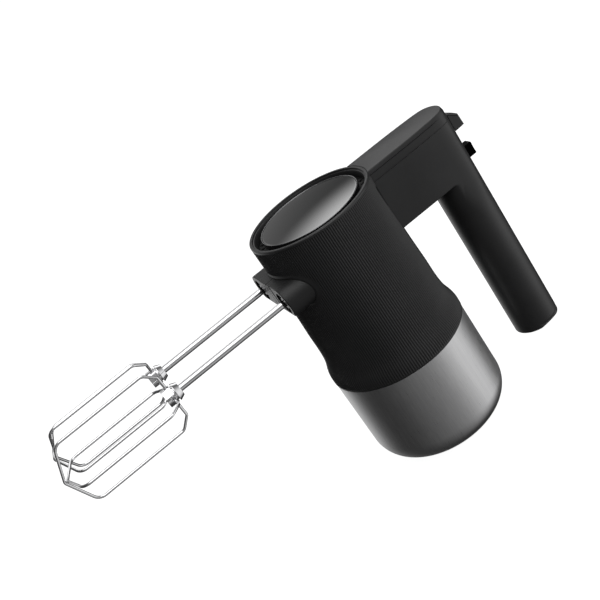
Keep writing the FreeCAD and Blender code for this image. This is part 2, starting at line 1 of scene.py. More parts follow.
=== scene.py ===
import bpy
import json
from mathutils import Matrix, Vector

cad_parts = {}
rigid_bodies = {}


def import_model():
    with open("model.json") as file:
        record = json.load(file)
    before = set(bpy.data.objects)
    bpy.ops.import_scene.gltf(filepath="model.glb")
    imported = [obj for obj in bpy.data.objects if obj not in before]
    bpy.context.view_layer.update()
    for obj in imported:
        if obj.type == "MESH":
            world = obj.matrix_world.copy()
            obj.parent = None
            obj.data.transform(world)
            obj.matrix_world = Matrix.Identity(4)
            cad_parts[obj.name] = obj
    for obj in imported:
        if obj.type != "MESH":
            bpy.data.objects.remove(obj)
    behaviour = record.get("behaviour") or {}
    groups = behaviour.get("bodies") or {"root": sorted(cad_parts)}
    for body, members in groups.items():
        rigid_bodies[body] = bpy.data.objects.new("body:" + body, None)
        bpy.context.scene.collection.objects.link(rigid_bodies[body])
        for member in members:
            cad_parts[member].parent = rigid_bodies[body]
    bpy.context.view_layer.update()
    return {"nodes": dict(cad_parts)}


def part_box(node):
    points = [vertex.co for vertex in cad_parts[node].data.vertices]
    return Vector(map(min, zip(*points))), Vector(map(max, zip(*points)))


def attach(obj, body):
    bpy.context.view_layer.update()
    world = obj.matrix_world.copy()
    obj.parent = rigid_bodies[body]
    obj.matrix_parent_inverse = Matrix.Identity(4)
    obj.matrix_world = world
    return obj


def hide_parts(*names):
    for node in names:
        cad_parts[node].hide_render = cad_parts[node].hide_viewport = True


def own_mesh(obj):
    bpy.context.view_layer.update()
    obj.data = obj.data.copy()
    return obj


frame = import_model()

import json
import math

import bpy
import numpy as np
from mathutils import Matrix, Vector

MM = 0.001
TAU = 2 * math.pi


# ------------------------------------------------------------------ sizes, from the frame
def nb(name):
    lo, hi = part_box(name)
    return np.array(lo) * 1000.0, np.array(hi) * 1000.0


H_TOP = nb("arm_cover")[1][2]
Z_JOINT = nb("steel_shell")[1][2]
Z_SP = 0.5 * (nb("spindle_left")[0][2] + nb("spindle_left")[1][2])
Y_SP = abs(0.5 * (nb("spindle_left")[0][1] + nb("spindle_left")[1][1]))
X_GRIP = 0.5 * (nb("grip_tube")[0][0] + nb("grip_tube")[1][0])
R_GRIP = 0.5 * (nb("grip_tube")[1][0] - nb("grip_tube")[0][0])
Z_GRIP0 = nb("grip_end_cap")[0][2]
Z_ARM0 = nb("arm_left")[0][2]
Z_SEAM = nb("arm_cover")[0][2]
BARREL = [(49.0, 72.0), (49.05, 75.5), (48.85, 78.0), (48.3, 80.5), (47.4, 83.2), (46.4, 86.5), (45.7, 90.5), (45.25, 95.0),
          (45.0, 101.0), (44.9, 111.0), (44.6, 118.0), (44.1, 133.0), (43.7, 152.0), (43.4, 166.0), (43.3, 177.0), (43.3, 182.0)]
_bz = np.array([p[1] for p in BARREL])
_br = np.array([p[0] for p in BARREL])


def _pchip_slopes(x, y):
    h = np.diff(x)
    d = np.diff(y) / h
    m = np.zeros(len(x))
    for i in range(1, len(x) - 1):
        if d[i - 1] * d[i] > 0:
            w1, w2 = 2 * h[i] + h[i - 1], h[i] + 2 * h[i - 1]
            m[i] = (w1 + w2) / (w1 / d[i - 1] + w2 / d[i])
    m[0], m[-1] = d[0], d[-1]
    return m


_bm = _pchip_slopes(_bz, _br)


def barrel_r(z):
    """Smooth outer radius of the barrel at height z."""
    z = np.clip(np.asarray(z, float), _bz[0], _bz[-1])
    i = np.clip(np.searchsorted(_bz, z) - 1, 0, len(_bz) - 2)
    h = _bz[i + 1] - _bz[i]
    t = (z - _bz[i]) / h
    return ((2 * t**3 - 3 * t**2 + 1) * _br[i] + (t**3 - 2 * t**2 + t) * h * _bm[i]
            + (-2 * t**3 + 3 * t**2) * _br[i + 1] + (t**3 - t**2) * h * _bm[i + 1])


def sstep(a, b, x):
    t = np.clip((np.asarray(x, float) - a) / (b - a), 0, 1)
    return t * t * (3 - 2 * t)


# ------------------------------------------------------------------ mesh helpers
def make_obj(name, verts_mm, faces, sharp=None, normals=None):
    """faces: list of tuples, or an (n, 4) array. Vertices in millimetres."""
    me = bpy.data.meshes.new(name)
    v = np.asarray(verts_mm, float) * MM
    if isinstance(faces, np.ndarray):
        n = faces.shape[0]
        k = faces.shape[1]
        me.vertices.add(len(v))
        me.vertices.foreach_set("co", v.astype(np.float32).ravel())
        me.loops.add(n * k)
        me.loops.foreach_set("vertex_index", faces.astype(np.int32).ravel())
        me.polygons.add(n)
        me.polygons.foreach_set("loop_start", np.arange(0, n * k, k, dtype=np.int32))
        me.update(calc_edges=True)
    else:
        me.from_pydata([tuple(p) for p in v], [], faces)
        me.update(calc_edges=True)
    me.validate()
    me.polygons.foreach_set("use_smooth", np.ones(len(me.polygons), bool))
    if sharp is not None:
        me.set_sharp_from_angle(angle=math.radians(sharp))
    if normals is not None:
        me.normals_split_custom_set_from_vertices([tuple(q) for q in normals])
    me.update()
    ob = bpy.data.objects.new(name, me)
    bpy.context.scene.collection.objects.link(ob)
    return ob


def revolve(name, prof, n=192, axis="Z", centre=(0, 0, 0), sharp=28, flip=False):
    """prof: closed list of (r, h) in millimetres; r = 0 points become poles. Returns an object."""
    verts, rings = [], []
    cs = [(math.cos(TAU * i / n), math.sin(TAU * i / n)) for i in range(n)]
    cx, cy, cz = centre
    for r, h in prof:
        if r < 1e-6:
            rings.append([len(verts)])
            verts.append((cx, cy, cz + h) if axis == "Z" else (cx + h, cy, cz))
        else:
            rings.append(list(range(len(verts), len(verts) + n)))
            for c, s in cs:
                verts.append((cx + r * c, cy + r * s, cz + h) if axis == "Z" else (cx + h, cy + r * c, cz + r * s))
    faces = []
    m = len(prof)
    closed = prof[0][0] > 1e-6 or prof[-1][0] > 1e-6
    for k in range(m if closed else m - 1):
        a, b = rings[k], rings[(k + 1) % m]
        if len(a) == 1 and len(b) == 1:
            continue
        for i in range(n):
            j = (i + 1) % n
            if len(a) == 1:
                f = (a[0], b[j], b[i])
            elif len(b) == 1:
                f = (a[i], a[j], b[0])
            else:
                f = (a[i], a[j], b[j], b[i])
            faces.append(f[::-1] if flip else f)
    return make_obj(name, verts, faces, sharp=sharp)


def arc(cx, cy, r, a0, a1, n):
    return [(cx + r * math.cos(math.radians(a0 + (a1 - a0) * i / n)),
             cy + r * math.sin(math.radians(a0 + (a1 - a0) * i / n))) for i in range(n + 1)]


def outward(ob):
    """Makes every closed shell face outwards."""
    import bmesh
    bm = bmesh.new()
    bm.from_mesh(ob.data)
    bmesh.ops.recalc_face_normals(bm, faces=bm.faces)
    bm.to_mesh(ob.data)
    bm.free()
    return ob


def cut_grid_shell(name, outer, inner, keep, sharp=None):
    """Two matching closed-in-u grids (rows, cols, 3) make a wall. keep (rows-1, cols) says which cells stay.
    End rows and the edges of removed cells are closed, so the wall is one watertight skin."""
    rows, cols, _ = outer.shape
    nv = rows * cols
    idx = np.arange(nv).reshape(rows, cols)
    nxt = np.roll(np.arange(cols), -1)
    r, c = np.nonzero(keep)
    a, b = idx[r, c], idx[r, nxt[c]]
    d, e = idx[r + 1, c], idx[r + 1, nxt[c]]
    quads = [np.stack([a, b, e, d], 1), np.stack([a + nv, d + nv, e + nv, b + nv], 1)]
    pad = np.zeros((rows + 1, cols), bool)
    pad[1:rows] = keep
    # walls on horizontal edges: row line k lies between cell rows k-1 and k
    low, up = pad[:-1], pad[1:]
    k, c = np.nonzero(low & ~up)
    p, q = idx[k, c], idx[k, nxt[c]]
    quads.append(np.stack([p, q, q + nv, p + nv], 1))
    k, c = np.nonzero(~low & up)
    p, q = idx[k, c], idx[k, nxt[c]]
    quads.append(np.stack([q, p, p + nv, q + nv], 1))
    left = np.roll(keep, 1, axis=1)
    k, c = np.nonzero(left & ~keep)
    p, q = idx[k, c], idx[k + 1, c]
    quads.append(np.stack([q, p, p + nv, q + nv], 1))
    k, c = np.nonzero(~left & keep)
    p, q = idx[k, c], idx[k + 1, c]
    quads.append(np.stack([p, q, q + nv, p + nv], 1))
    f = np.concatenate(quads)
    v = np.concatenate([outer.reshape(-1, 3), inner.reshape(-1, 3)])
    used = np.zeros(len(v), bool)
    used[f.ravel()] = True
    remap = np.cumsum(used) - 1
    return make_obj(name, v[used], remap[f], sharp=sharp)


def tube(name, pts, r, seg=16, ends="round"):
    """A round wire along points (millimetres), with parallel-transported rings and domed ends."""
    P = np.asarray(pts, float)
    t = np.gradient(P, axis=0)
    t /= np.linalg.norm(t, axis=1)[:, None]
    ref = np.array([0.0, 0.0, 1.0]) if abs(t[0][2]) < 0.9 else np.array([0.0, 1.0, 0.0])
    u = np.cross(t[0], ref)
    u /= np.linalg.norm(u)
    us = [u]
    for i in range(1, len(P)):
        u = us[-1] - t[i] * (us[-1] @ t[i])
        us.append(u / np.linalg.norm(u))
    us = np.array(us)
    vs = np.cross(t, us)
    ang = np.arange(seg) * TAU / seg
    rings = [P[i] + r * (np.cos(ang)[:, None] * us[i] + np.sin(ang)[:, None] * vs[i]) for i in range(len(P))]
    caps0, caps1 = [], []
    if ends == "round":
        for k in (0.5, 0.87):
            rr, dd = r * math.sqrt(1 - k * k), r * k
            caps0.insert(0, P[0] - t[0] * dd + rr * (np.cos(ang)[:, None] * us[0] + np.sin(ang)[:, None] * vs[0]))
            caps1.append(P[-1] + t[-1] * dd + rr * (np.cos(ang)[:, None] * us[-1] + np.sin(ang)[:, None] * vs[-1]))
    rings = caps0 + rings + caps1
    v = np.concatenate(rings)
    faces = []
    m = len(rings)
    for i in range(m - 1):
        for j in range(seg):
            k = (j + 1) % seg
            faces.append((i * seg + j, i * seg + k, (i + 1) * seg + k, (i + 1) * seg + j))
    faces.append(tuple(range(seg))[::-1])
    faces.append(tuple((m - 1) * seg + j for j in range(seg)))
    return make_obj(name, v, faces)


def round_path(pts, radii, step=4.0):
    """Straight runs joined by tangent arcs, sampled for a bent wire."""
    P = [np.array(p, float) for p in pts]
    out = [P[0]]
    for i in range(1, len(P) - 1):
        a, b, c = P[i - 1], P[i], P[i + 1]
        u = (a - b) / np.linalg.norm(a - b)
        w = (c - b) / np.linalg.norm(c - b)
        ang = math.acos(max(-1, min(1, float(u @ w))))
        R = radii[i - 1]
        t = R / math.tan(ang / 2)
        bis = (u + w) / np.linalg.norm(u + w)
        cen = b + bis * (R / math.sin(ang / 2))
        p1, p2 = b + u * t, b + w * t
        e1 = (p1 - cen) / R
        turn = math.pi - ang
        n = w - e1 * (w @ e1)
        e2 = n / np.linalg.norm(n)
        start = out[-1]
        length = np.linalg.norm(p1 - start)
        k = max(1, int(length / step))
        for q in range(1, k + 1):
            out.append(start + (p1 - start) * q / k)
        m = max(4, int(math.degrees(turn) / 6))
        for q in range(1, m + 1):
            th = turn * q / m
            out.append(cen + R * (math.cos(th) * e1 + math.sin(th) * e2))
    k = max(1, int(np.linalg.norm(P[-1] - out[-1]) / step))
    start = out[-1]
    for q in range(1, k + 1):
        out.append(start + (P[-1] - start) * q / k)
    return np.array(out)


# ------------------------------------------------------------------ distance fields, meshed
def smin(a, b, k):
    h = np.clip(0.5 + 0.5 * (b - a) / k, 0, 1)
    return b * (1 - h) + a * h - k * h * (1 - h)


def smax(a, b, k):
    return -smin(-a, -b, k)


def skin(name, f, lo, hi, h, steps=3, normals=True):
    """Meshes the surface f(x, y, z) = 0 (f < 0 inside) with one vertex per crossed cell, then pulls the
    vertices onto the surface. Watertight, and the shading normals come from the field itself."""
    lo, hi = np.array(lo, float), np.array(hi, float)
    h = np.broadcast_to(np.array(h, float), (3,))
    n = np.ceil((hi - lo) / h).astype(int) + 1
    ax = [(lo[i] + h[i] * np.arange(n[i])).astype(np.float32) for i in range(3)]
    F = np.empty(n, np.float32)
    chunk = max(1, int(3e6 // (n[1] * n[2])))
    for s in range(0, n[0], chunk):
        X, Y, Z = np.meshgrid(ax[0][s:s + chunk], ax[1], ax[2], indexing="ij")
        F[s:s + chunk] = f(X, Y, Z)
    S = F < 0
    m = n - 1
    cnt = np.zeros(m, np.int8)
    for dx in (0, 1):
        for dy in (0, 1):
            for dz in (0, 1):
                cnt += S[dx:dx + m[0], dy:dy + m[1], dz:dz + m[2]]
    act = (cnt > 0) & (cnt < 8)
    ci, cj, ck = np.nonzero(act)
    vid = np.full(m, -1, np.int64)
    vid[ci, cj, ck] = np.arange(len(ci))
    acc = np.zeros((len(ci), 3))
    num = np.zeros(len(ci))
    corners = [(dx, dy, dz) for dx in (0, 1) for dy in (0, 1) for dz in (0, 1)]
    for a in range(8):
        for b in range(a + 1, 8):
            pa, pb = np.array(corners[a]), np.array(corners[b])
            if np.abs(pa - pb).sum() != 1:
                continue
            fa = F[ci + pa[0], cj + pa[1], ck + pa[2]].astype(float)
            fb = F[ci + pb[0], cj + pb[1], ck + pb[2]].astype(float)
            cross = (fa < 0) != (fb < 0)
            t = np.where(cross, fa / np.where(cross, fa - fb, 1), 0)
            p = pa[None] + t[:, None] * (pb - pa)[None]
            acc[cross] += p[cross]
            num[cross] += 1
    base = np.stack([ci, cj, ck], 1)
    V = lo + (base + acc / num[:, None]) * h
    quads = []
    for axis in range(3):
        o = [i for i in range(3) if i != axis]
        sl0 = [slice(None)] * 3
        sl1 = [slice(None)] * 3
        sl0[axis], sl1[axis] = slice(0, m[axis]), slice(1, m[axis] + 1)
        A, B = S[tuple(sl0)], S[tuple(sl1)]
        for flip, mask in ((False, A & ~B), (True, ~A & B)):
            idx = list(np.nonzero(mask))
            ok = np.ones(len(idx[0]), bool)
            for q in o:
                ok &= (idx[q] > 0) & (idx[q] < m[q])
            idx = [q[ok] for q in idx]

            def cell(d0, d1):
                g = [q.copy() for q in idx]
                g[o[0]] -= d0
                g[o[1]] -= d1
                return vid[g[0], g[1], g[2]]
            q4 = [cell(1, 1), cell(0, 1), cell(0, 0), cell(1, 0)]
            if axis == 1:
                q4 = q4[::-1]
            if flip:
                q4 = q4[::-1]
            quads.append(np.stack(q4, 1))
    Q = np.concatenate(quads)

    def grad(P, e):
        g = np.empty_like(P)
        for i in range(3):
            d = np.zeros(3)
            d[i] = e
            g[:, i] = (f(*(P + d).T) - f(*(P - d).T)) / (2 * e)
        return g
    orig = V.copy()
    for _ in range(steps):
        g = grad(V, 0.02)
        val = f(*V.T)
        V = V - (val / np.maximum((g * g).sum(1), 0.2))[:, None] * g * 0.9
        off = V - orig
        L = np.linalg.norm(off, axis=1)
        cap = 0.7 * float(h.max())
        V = orig + off * np.minimum(1, cap / np.maximum(L, 1e-9))[:, None]
    nn = None
    if normals:
        g = grad(V, 0.03)
        nn = g / np.maximum(np.linalg.norm(g, axis=1), 1e-9)[:, None]
    return make_obj(name, V, Q, normals=nn)


# ------------------------------------------------------------------ materials
def nodes_of(name):
    m = bpy.data.materials.new(name)
    m.use_nodes = True
    nt = m.node_tree
    nt.nodes.clear()
    out = nt.nodes.new("ShaderNodeOutputMaterial")
    b = nt.nodes.new("ShaderNodeBsdfPrincipled")
    nt.links.new(b.outputs[0], out.inputs[0])
    return m, nt, b


def add(nt, kind, **kw):
    nd = nt.nodes.new(kind)
    for k, v in kw.items():
        setattr(nd, k, v)
    return nd


def coords(nt, scale=(1, 1, 1)):
    tc = add(nt, "ShaderNodeTexCoord")
    mp = add(nt, "ShaderNodeMapping")
    mp.inputs["Scale"].default_value = scale
    nt.links.new(tc.outputs["Object"], mp.inputs[0])
    return mp.outputs[0]


def noise(nt, vec, scale, detail=3, rough=0.5):
    n = add(nt, "ShaderNodeTexNoise")
    n.inputs["Scale"].default_value = scale
    n.inputs["Detail"].default_value = detail
    n.inputs["Roughness"].default_value = rough
    nt.links.new(vec, n.inputs["Vector"])
    return n.outputs["Fac"]


def ramp(nt, fac, stops):
    r = add(nt, "ShaderNodeValToRGB")
    r.color_ramp.elements[0].position = stops[0][0]
    r.color_ramp.elements[0].color = (*stops[0][1], 1)
    r.color_ramp.elements[-1].position = stops[-1][0]
    r.color_ramp.elements[-1].color = (*stops[-1][1], 1)
    for p, c in stops[1:-1]:
        e = r.color_ramp.elements.new(p)
        e.color = (*c, 1)
    nt.links.new(fac, r.inputs[0])
    return r.outputs[0]


def remap(nt, fac, a, b, c, d):
    r = add(nt, "ShaderNodeMapRange")
    r.inputs["From Min"].default_value = a
    r.inputs["From Max"].default_value = b
    r.inputs["To Min"].default_value = c
    r.inputs["To Max"].default_value = d
    nt.links.new(fac, r.inputs["Value"])
    return r.outputs[0]


def bump(nt, height, strength, dist, normal=None):
    b = add(nt, "ShaderNodeBump")
    b.inputs["Strength"].default_value = strength
    b.inputs["Distance"].default_value = dist
    nt.links.new(height, b.inputs["Height"])
    if normal is not None:
        nt.links.new(normal, b.inputs["Normal"])
    return b.outputs[0]


def plastic(name, tone, rough, grain=2600.0, depth=0.00002, spec=0.5, spread=0.18, coat=0.0, coat_rough=0.1, rspread=0.06):
    """Moulded plastic: fine spark-eroded grain, faint cloudiness in tone and gloss."""
    m, nt, b = nodes_of(name)
    v = coords(nt)
    g = noise(nt, v, grain, 2, 0.6)
    c = noise(nt, v, 38.0, 4, 0.55)
    lo = tuple(t * (1 - spread) for t in tone)
    hi = tuple(t * (1 + spread) for t in tone)
    nt.links.new(ramp(nt, c, [(0.3, lo), (0.7, hi)]), b.inputs["Base Color"])
    nt.links.new(remap(nt, g, 0.3, 0.7, rough - rspread, rough + rspread), b.inputs["Roughness"])
    b.inputs["Specular IOR Level"].default_value = spec
    if coat:
        b.inputs["Coat Weight"].default_value = coat
        b.inputs["Coat Roughness"].default_value = coat_rough
    nt.links.new(bump(nt, g, 0.35, depth), b.inputs["Normal"])
    return m


def metal(name, tone, rough, scratch=(1, 1, 1), scale=900.0, depth=0.000006, spread=0.08, aniso=0.0, tint_scale=30.0, rspread=0.05):
    m, nt, b = nodes_of(name)
    v = coords(nt, scratch)
    g = noise(nt, v, scale, 3, 0.6)
    v2 = coords(nt)
    c = noise(nt, v2, tint_scale, 3, 0.5)
    lo = tuple(t * (1 - spread) for t in tone)
    hi = tuple(min(1.0, t * (1 + spread)) for t in tone)
    nt.links.new(ramp(nt, c, [(0.3, lo), (0.7, hi)]), b.inputs["Base Color"])
    nt.links.new(remap(nt, g, 0.3, 0.7, max(0.02, rough - rspread), rough + rspread), b.inputs["Roughness"])
    b.inputs["Metallic"].default_value = 1.0
    if aniso:
        b.inputs["Anisotropic"].default_value = aniso
    nt.links.new(bump(nt, g, 0.3, depth), b.inputs["Normal"])
    return m


def brushed_cup():
    """Steel sheet brushed along the axis: streaks run up the wall, so they are a function of the angle round it."""
    m, nt, b = nodes_of("steel_brushed_axial")
    tc = add(nt, "ShaderNodeTexCoord")
    sp = add(nt, "ShaderNodeSeparateXYZ")
    nt.links.new(tc.outputs["Object"], sp.inputs[0])
    at = add(nt, "ShaderNodeMath", operation="ARCTAN2")
    nt.links.new(sp.outputs[1], at.inputs[0])
    nt.links.new(sp.outputs[0], at.inputs[1])
    # two unit-circle coordinates keep the streaks free of a seam
    cs = add(nt, "ShaderNodeMath", operation="COSINE")
    sn = add(nt, "ShaderNodeMath", operation="SINE")
    nt.links.new(at.outputs[0], cs.inputs[0])
    nt.links.new(at.outputs[0], sn.inputs[0])
    zz = add(nt, "ShaderNodeMath", operation="MULTIPLY")
    zz.inputs[1].default_value = 0.55
    nt.links.new(sp.outputs[2], zz.inputs[0])
    cb = add(nt, "ShaderNodeCombineXYZ")
    nt.links.new(cs.outputs[0], cb.inputs[0])
    nt.links.new(sn.outputs[0], cb.inputs[1])
    nt.links.new(zz.outputs[0], cb.inputs[2])
    fine = noise(nt, cb.outputs[0], 190.0, 4, 0.62)
    broad = noise(nt, cb.outputs[0], 26.0, 3, 0.5)
    mix = add(nt, "ShaderNodeMath", operation="MULTIPLY_ADD")
    mix.inputs[1].default_value = 0.35
    nt.links.new(broad, mix.inputs[0])
    nt.links.new(fine, mix.inputs[2])
    nt.links.new(ramp(nt, mix.outputs[0], [(0.45, (0.50, 0.50, 0.505)), (0.68, (0.56, 0.56, 0.565)), (0.9, (0.62, 0.62, 0.62))]), b.inputs["Base Color"])
    nt.links.new(remap(nt, fine, 0.3, 0.7, 0.27, 0.37), b.inputs["Roughness"])
    b.inputs["Metallic"].default_value = 1.0
    b.inputs["Anisotropic"].default_value = 0.65
    tg = add(nt, "ShaderNodeTangent", direction_type="RADIAL", axis="Z")
    nt.links.new(tg.outputs[0], b.inputs["Tangent"])
    nt.links.new(bump(nt, fine, 0.06, 0.00002), b.inputs["Normal"])
    return m


M = {}
M["ribbed_black"] = plastic("soft_black_ribbed", (0.017, 0.017, 0.0175), 0.44, depth=0.000006, spec=0.38, rspread=0.03)
M["handle_black"] = plastic("satin_black_moulded", (0.019, 0.019, 0.0195), 0.42, spec=0.42)
# painted shade: the nose's black plastic is a darker, less glossy copy of the handle's, standing in for the shade on
# the nose bosses
M["nose_black"] = plastic("satin_black_nose_painted_shade", (0.014, 0.014, 0.0143), 0.44, spec=0.34)
M["cover_grey"] = plastic("satin_black_cover", (0.019, 0.019, 0.0195), 0.42, spec=0.42)
M["gloss_black"] = plastic("gloss_black_lacquer", (0.008, 0.008, 0.0083), 0.06, grain=500.0, depth=0.0000005, spec=0.5, coat=1.0, coat_rough=0.03, rspread=0.015)
next(n for n in M["gloss_black"].node_tree.nodes if n.type == "BSDF_PRINCIPLED").inputs["IOR"].default_value = 1.8
M["brushed_steel"] = brushed_cup()
M["polished_trim"] = metal("trim_ring_metal", (0.25, 0.25, 0.255), 0.30)
M["chrome_wire"] = metal("chrome_plate", (0.78, 0.78, 0.79), 0.05, scale=700.0, depth=0.0000008, rspread=0.015)
M["selector_grey"] = plastic("satin_dark_slider", (0.028, 0.028, 0.0285), 0.42)
M["key_black"] = plastic("key_black_deep", (0.0006, 0.0006, 0.0006), 0.5, spec=0.02)
# painted shade: a near-black, matt copy of the black plastic with almost no sheen, darker than the parts round it, so
# recesses read as shaded
M["recess_black"] = plastic("recess_black_painted_shade", (0.006, 0.006, 0.0062), 0.6, spec=0.2)
M["pad_rubber"] = plastic("rubber_pad", (0.018, 0.018, 0.018), 0.75, grain=1500.0, depth=0.00004, spec=0.3)
M["screw_steel"] = metal("zinc_screw", (0.55, 0.55, 0.53), 0.30, scale=1200.0)
M["frame_plastic"] = plastic("frame_nylon_black", (0.035, 0.035, 0.036), 0.55)
M["bronze"] = metal("sintered_bronze", (0.46, 0.30, 0.14), 0.42, scale=1600.0, depth=0.00002)
M["shaft_steel"] = metal("ground_shaft_steel", (0.28, 0.28, 0.285), 0.30, scratch=(0.15, 1, 1), scale=1500.0)
M["lamination"] = metal("lamination_stack", (0.30, 0.30, 0.31), 0.45, scratch=(0.2, 0.2, 8.0), scale=220.0, depth=0.00006)
M["copper"] = metal("enamelled_copper", (0.60, 0.24, 0.10), 0.32, scratch=(1, 1, 6.0), scale=260.0, depth=0.00008)
M["carbon"] = plastic("carbon_brush", (0.03, 0.03, 0.032), 0.6, grain=1500.0, depth=0.00004)
M["wheel_plastic"] = plastic("acetal_wheel", (0.72, 0.70, 0.62), 0.38, spread=0.05)
M["fan_plastic"] = plastic("fan_nylon", (0.30, 0.31, 0.33), 0.45, spread=0.08)
M["board_green"] = plastic("laminate_board", (0.03, 0.14, 0.06), 0.4, spread=0.15, grain=900.0)
M["brass"] = metal("brass_part", (0.70, 0.52, 0.22), 0.28)

# painted shade: the spindles inside the nose bores get steel darkened to near black, standing in for the shade inside
# the bores
spindle_painted_shade = metal("spindle_steel_painted_shade", (0.05, 0.05, 0.052), 0.42, scratch=(0.15, 1, 1), scale=1500.0)

slots_seen = {}
for nm, ob in frame["nodes"].items():
    for s in ob.material_slots:
        key = s.material.name.split(".")[0] if s.material else ""
        slots_seen.setdefault(key, []).append(nm)
        if key in M:
            # spindles take the painted-shade dark steel instead of their own finish
            s.material = spindle_painted_shade if nm.startswith("spindle_") else M[key]
print("unmatched slots:", {k: v for k, v in slots_seen.items() if k not in M})


def finish_piece(ob, slot, body, replaces=(), mat=None):
    ob.data.materials.clear()
    ob.data.materials.append(mat or M[slot])
    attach(ob, body)
    if replaces:
        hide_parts(*replaces)
    return ob


# ------------------------------------------------------------------ spindle nose outline in the YZ plane
R_NOSE = 11.0
Z_NC = Z_SP - 0.2
Z_NTOP = Z_NC + R_NOSE
Z_NBOT = nb("nose_block")[0][2]


def nose_outline_d(y, z):
    """Signed distance (negative inside) to the nose outline: a stadium with a flat underside."""
    y, z = np.asarray(y, float), np.asarray(z, float)
    dy = np.maximum(np.abs(y) - Y_SP, 0)
    d = np.sqrt(dy**2 + (z - Z_NC) ** 2) - R_NOSE
    return smax(d, Z_NBOT - z, 1.0)


# ------------------------------------------------------------------ ribbed barrel sleeve
N_RIB, PER = 182, 8
cols = N_RIB * PER
zrows = np.unique(np.round(np.concatenate([
    [72.0, 72.08, 72.3, 72.7, 73.2, 73.8, 74.6, 75.5], np.arange(77, 105, 2.0), np.arange(107, 136, 4.0),
    np.arange(136, 170, 1.0), [171, 173, 174.2, 175.0, 176.0, 177.0, 178.5, 180.0, 180.6, 180.9, 181.15, 181.35, 181.55]]), 3))
th = np.arange(cols) * TAU / cols
Zg, Tg = np.meshgrid(zrows, th, indexing="ij")
Rg = barrel_r(Zg)
edge = 0.45 * (1 - sstep(72.0, 72.5, Zg)) ** 2
Yg, Xg = Rg * np.sin(Tg), Rg * np.cos(Tg)
d_nose = np.where(Xg < 0, nose_outline_d(Yg, Zg), 50.0)
fade = sstep(72.9, 73.9, Zg) * (1 - sstep(180.9, 181.4, Zg)) * sstep(1.6, 2.6, d_nose)
wave = 0.5 - 0.5 * np.cos(Tg * N_RIB)
wave = wave ** 0.8
RIB = 0.40
Ro = Rg - edge - RIB * wave * fade
Ri = Rg - 2.2
Ri = np.where(Zg < 73, 46.6, Ri)
outer = np.stack([Ro * np.cos(Tg), Ro * np.sin(Tg), Zg], -1)
inner = np.stack([Ri * np.cos(Tg), Ri * np.sin(Tg), Zg], -1)
zc = 0.5 * (zrows[1:] + zrows[:-1])[:, None]
tc_ = (th + 0.5 * TAU / cols)[None]
rc = barrel_r(zc)
yc, xc = rc * np.sin(tc_), rc * np.cos(tc_)
arm_hw = 21.1 - 0.1268 * (xc - 43.0)
keep = ~((xc < 0) & (nose_outline_d(yc, zc + 0 * yc) < -1.2))
keep &= ~((xc > 0) & (np.abs(yc) < arm_hw - 1.2) & (zc > Z_ARM0 + 1.2) & (zc < Z_SEAM - 1.2))
sleeve = cut_grid_shell("barrel_sleeve_ribbed", outer, inner, keep)
finish_piece(sleeve, "ribbed_black", "housing", ("body_shell",))

# rolled lip of the sleeve round the nose root
ns = 260
per_arc = math.pi * R_NOSE
pts2, nrm2 = [], []
hz = Z_NC - Z_NBOT
phi_b = math.degrees(math.asin(hz / R_NOSE))
seq = []
for q in np.linspace(90, -phi_b, 90):
    a = math.radians(q)
    seq.append((Y_SP + R_NOSE * math.cos(a), Z_NC + R_NOSE * math.sin(a), math.cos(a), math.sin(a)))
yb = Y_SP + R_NOSE * math.cos(math.radians(phi_b))
for q in np.linspace(-phi_b, -90, 8)[1:]:
    a = math.radians(q)
    seq.append((yb, Z_NBOT, math.cos(a), math.sin(a)))
for q in np.linspace(yb, -yb, 60)[1:-1]:
    seq.append((q, Z_NBOT, 0.0, -1.0))
half = [s for s in seq if s[0] >= -yb]
right = seq[:90 + 7]
left = [(-y, z, -a, b) for y, z, a, b in right[::-1]]
bottom = seq[90 + 7:]
top = [(q, Z_NTOP, 0.0, 1.0) for q in np.linspace(-Y_SP, Y_SP, 50)[1:-1]]
ring = right + bottom + left + top
ring = np.array(ring)
dd = np.array([-1.3, -0.7, -0.25, -0.02, 0.12, 0.32, 0.6, 0.92, 1.25, 1.6, 2.0, 2.45, 2.9])
hh = np.array([-2.0, -1.5, -0.75, -0.05, 0.26, 0.44, 0.50, 0.44, 0.30, 0.13, -0.02, -0.2, -0.6])
Yp = ring[:, 0][None] + ring[:, 2][None] * dd[:, None]
Zp = ring[:, 1][None] + ring[:, 3][None] * dd[:, None]
Rp = barrel_r(Zp) + hh[:, None]
Xp = -np.sqrt(np.maximum(Rp**2 - Yp**2, 1.0))
Ro_ = barrel_r(Zp) - 1.7
Xq = -np.sqrt(np.maximum(Ro_**2 - Yp**2, 1.0))
lip_o = np.stack([Xp, Yp, Zp], -1)
lip_i = np.stack([np.maximum(Xq, Xp + 0.3), Yp, Zp], -1)
lip = cut_grid_shell("sleeve_nose_lip", lip_o, lip_i, np.ones((len(dd) - 1, ring.shape[0]), bool))
outward(lip)
finish_piece(lip, "ribbed_black", "housing", mat=M["handle_black"])


